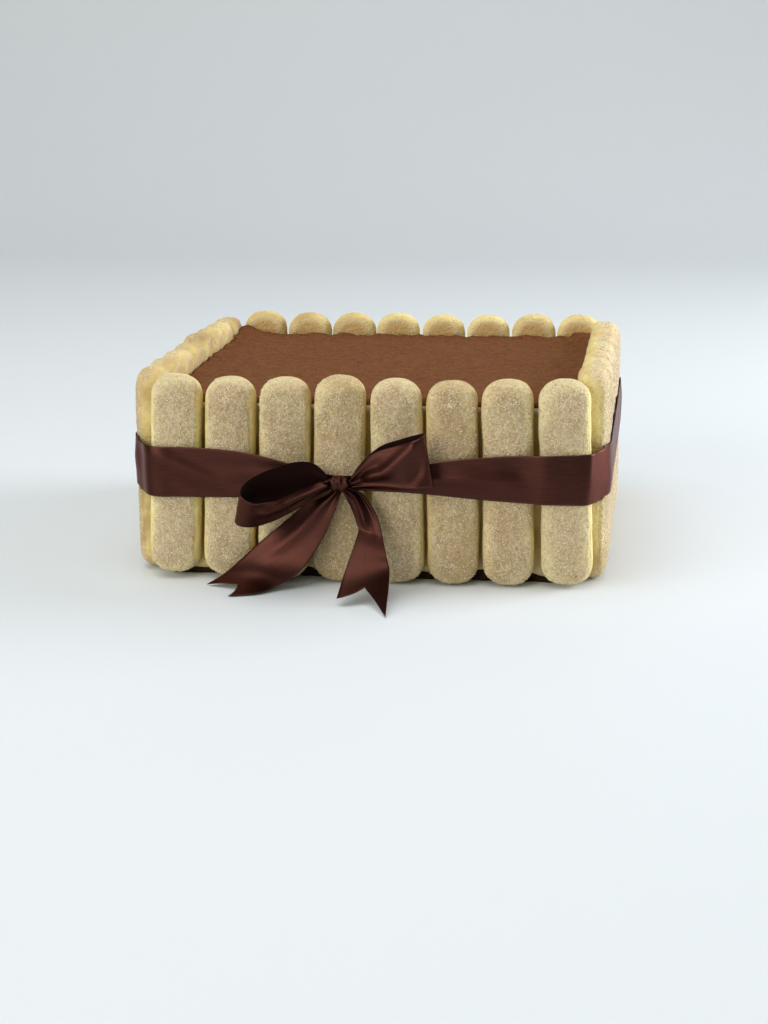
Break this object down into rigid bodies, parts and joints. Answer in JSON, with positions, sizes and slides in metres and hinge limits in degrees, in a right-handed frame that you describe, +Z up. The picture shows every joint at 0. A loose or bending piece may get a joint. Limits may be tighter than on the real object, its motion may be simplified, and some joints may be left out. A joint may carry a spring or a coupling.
{
  "type": "tiramisu cake",
  "caption": "Square cream cake walled with upright ladyfingers, dusted with cocoa on its sunken top and tied round the middle with a brown satin ribbon and bow.",
  "frame": {"origin": "centre of the cake's foot, on the flat underside that stands on a plate or table", "axes": "+Z up; -Y out of the side that carries the bow; +X to the right as seen from the bow's side"},
  "size_m": [0.2361, 0.2925, 0.1044],
  "materials": {
    "biscuit": "dry sponge with a golden crust under grainy sugar, fully matte",
    "cream": "soft, moist and faintly satin",
    "cocoa": "fine dry powder",
    "soaked_sponge": "damp dark sponge",
    "satin": "woven satin with a soft sheen"
  },
  "bodies": {
    "root": {"cake_base": "soaked_sponge", "cake_cream": "cream", "cocoa_top": "cocoa", "ladyfinger_front_1": "biscuit", "ladyfinger_front_2": "biscuit", "ladyfinger_front_3": "biscuit", "ladyfinger_front_4": "biscuit", "ladyfinger_front_5": "biscuit", "ladyfinger_front_6": "biscuit", "ladyfinger_front_7": "biscuit", "ladyfinger_front_8": "biscuit", "ladyfinger_right_1": "biscuit", "ladyfinger_right_2": "biscuit", "ladyfinger_right_3": "biscuit", "ladyfinger_right_4": "biscuit", "ladyfinger_right_5": "biscuit", "ladyfinger_right_6": "biscuit", "ladyfinger_right_7": "biscuit", "ladyfinger_right_8": "biscuit", "ladyfinger_back_1": "biscuit", "ladyfinger_back_2": "biscuit", "ladyfinger_back_3": "biscuit", "ladyfinger_back_4": "biscuit", "ladyfinger_back_5": "biscuit", "ladyfinger_back_6": "biscuit", "ladyfinger_back_7": "biscuit", "ladyfinger_back_8": "biscuit", "ladyfinger_left_1": "biscuit", "ladyfinger_left_2": "biscuit", "ladyfinger_left_3": "biscuit", "ladyfinger_left_4": "biscuit", "ladyfinger_left_5": "biscuit", "ladyfinger_left_6": "biscuit", "ladyfinger_left_7": "biscuit", "ladyfinger_left_8": "biscuit", "ribbon_band": "satin", "bow_knot": "satin", "bow_loop_left": "satin", "bow_loop_right": "satin", "bow_tail_left": "satin", "bow_tail_right": "satin"}
  },
  "joints": []
}
